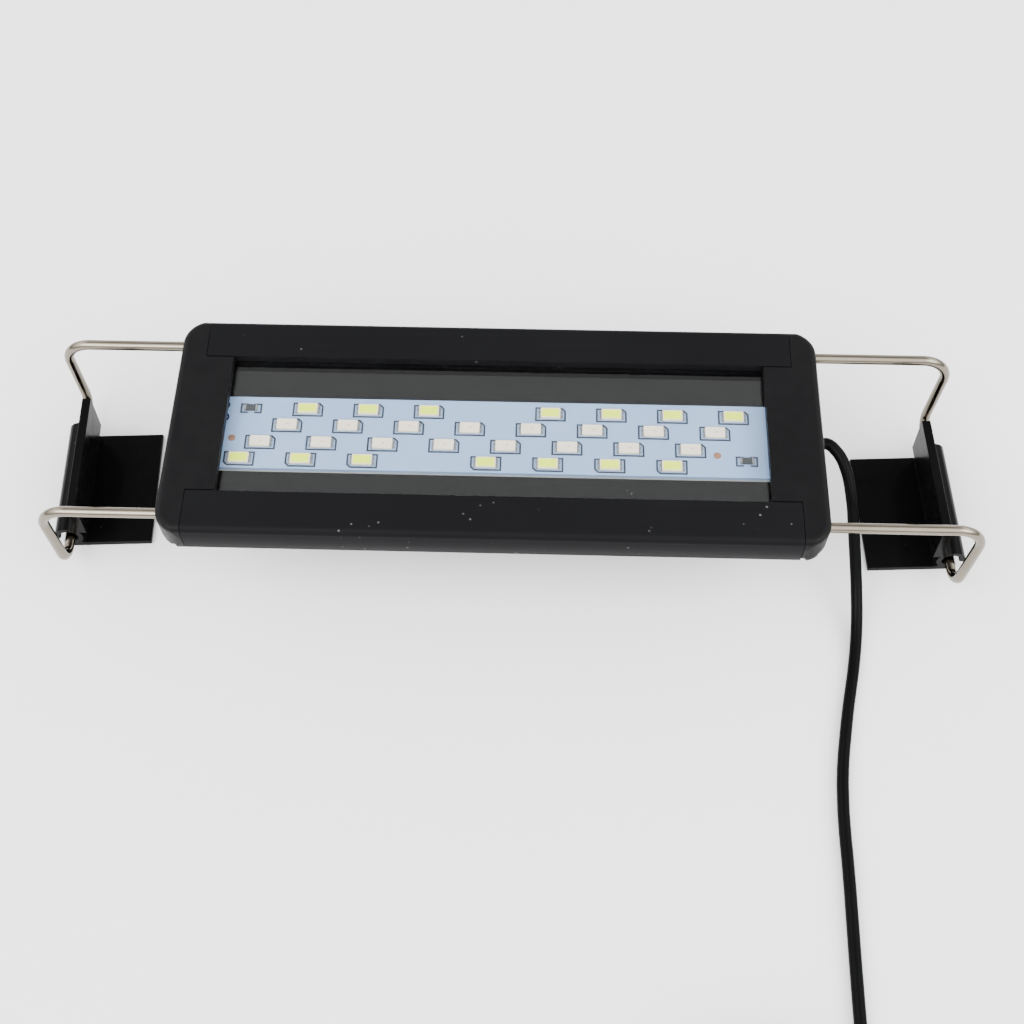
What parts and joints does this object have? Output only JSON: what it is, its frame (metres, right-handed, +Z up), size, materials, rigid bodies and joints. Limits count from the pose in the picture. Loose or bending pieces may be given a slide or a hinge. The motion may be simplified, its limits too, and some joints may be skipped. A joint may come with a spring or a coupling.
{
  "type": "led aquarium light",
  "caption": "Slim LED aquarium light, lit face up, with two sliding wire brackets, turning rim clips and a low-voltage cord.",
  "frame": {"origin": "on the surface under the clips, midway between the two brackets' cross bars and midway across the light", "axes": "+X along the light towards the cord end, +Z up through the lit face"},
  "size_m": [0.221, 0.2054, 0.0324],
  "materials": {
    "housing": "black anodised, satin, fine dust and scratches",
    "cap_plastic": "satin black moulding",
    "clear_cover": "clear, glossy",
    "board": "white solder mask with dark printed outlines",
    "thermal_tape": "grey",
    "led_package": "cream package, yellow-green centre on the white ones",
    "resistor": "black",
    "lead_red": "satin",
    "lead_black": "satin",
    "screw": "zinc plated",
    "wire": "nickel plated, bright",
    "clip": "gloss black with fine drawn lines",
    "cord_rubber": "black, semi-gloss",
    "plug_metal": "nickel plated"
  },
  "bodies": {
    "light": {"housing_extrusion": "housing", "end_cap_left": "cap_plastic", "end_cap_right": "cap_plastic", "cover_lens": "clear_cover", "led_board": "board", "thermal_tape": "thermal_tape", "resistor_left": "resistor", "resistor_right": "resistor", "lead_positive": "lead_red", "lead_negative": "lead_black", "cap_screw_left_front": "screw", "cap_screw_left_rear": "screw", "cap_screw_right_front": "screw", "cap_screw_right_rear": "screw", "cord_bush": "cord_rubber", "cord": "cord_rubber", "cord_coil": "cord_rubber", "cord_tail": "cord_rubber", "plug_body": "cord_rubber", "plug_barrel": "plug_metal", "led_row1_1": "led_package", "led_row1_2": "led_package", "led_row1_3": "led_package", "led_row1_5": "led_package", "led_row1_6": "led_package", "led_row1_7": "led_package", "led_row1_8": "led_package", "led_row2_1": "led_package", "led_row2_2": "led_package", "led_row2_3": "led_package", "led_row2_4": "led_package", "led_row2_5": "led_package", "led_row2_6": "led_package", "led_row2_7": "led_package", "led_row2_8": "led_package", "led_row3_1": "led_package", "led_row3_2": "led_package", "led_row3_3": "led_package", "led_row3_4": "led_package", "led_row3_5": "led_package", "led_row3_6": "led_package", "led_row3_7": "led_package", "led_row3_8": "led_package", "led_row4_1": "led_package", "led_row4_2": "led_package", "led_row4_3": "led_package", "led_row4_5": "led_package", "led_row4_6": "led_package", "led_row4_7": "led_package", "led_row4_8": "led_package"},
    "bracket_left": {"bracket_wire_left": "wire"},
    "bracket_right": {"bracket_wire_right": "wire"},
    "rim_clip_left": {"clip_left": "clip"},
    "rim_clip_right": {"clip_right": "clip"}
  },
  "joints": [
    {"name": "bracket_left_slide", "type": "slide", "parent": "light", "child": "bracket_left", "axis": [-1, 0, 0], "range_m": [-0.02, 0.032]},
    {"name": "bracket_right_slide", "type": "slide", "parent": "light", "child": "bracket_right", "axis": [1, 0, 0], "range_m": [-0.006, 0.03]},
    {"name": "clip_left_turn", "type": "hinge", "parent": "bracket_left", "child": "rim_clip_left", "pos_m": [-0.1063, 0, 0.0045], "axis": [-0.0523, 0.9986, 0], "range_deg": [-90, 90]},
    {"name": "clip_right_turn", "type": "hinge", "parent": "bracket_right", "child": "rim_clip_right", "pos_m": [0.1063, -0.0012, 0.0045], "axis": [0.0523, -0.9986, 0], "range_deg": [-30, 90]}
  ]
}
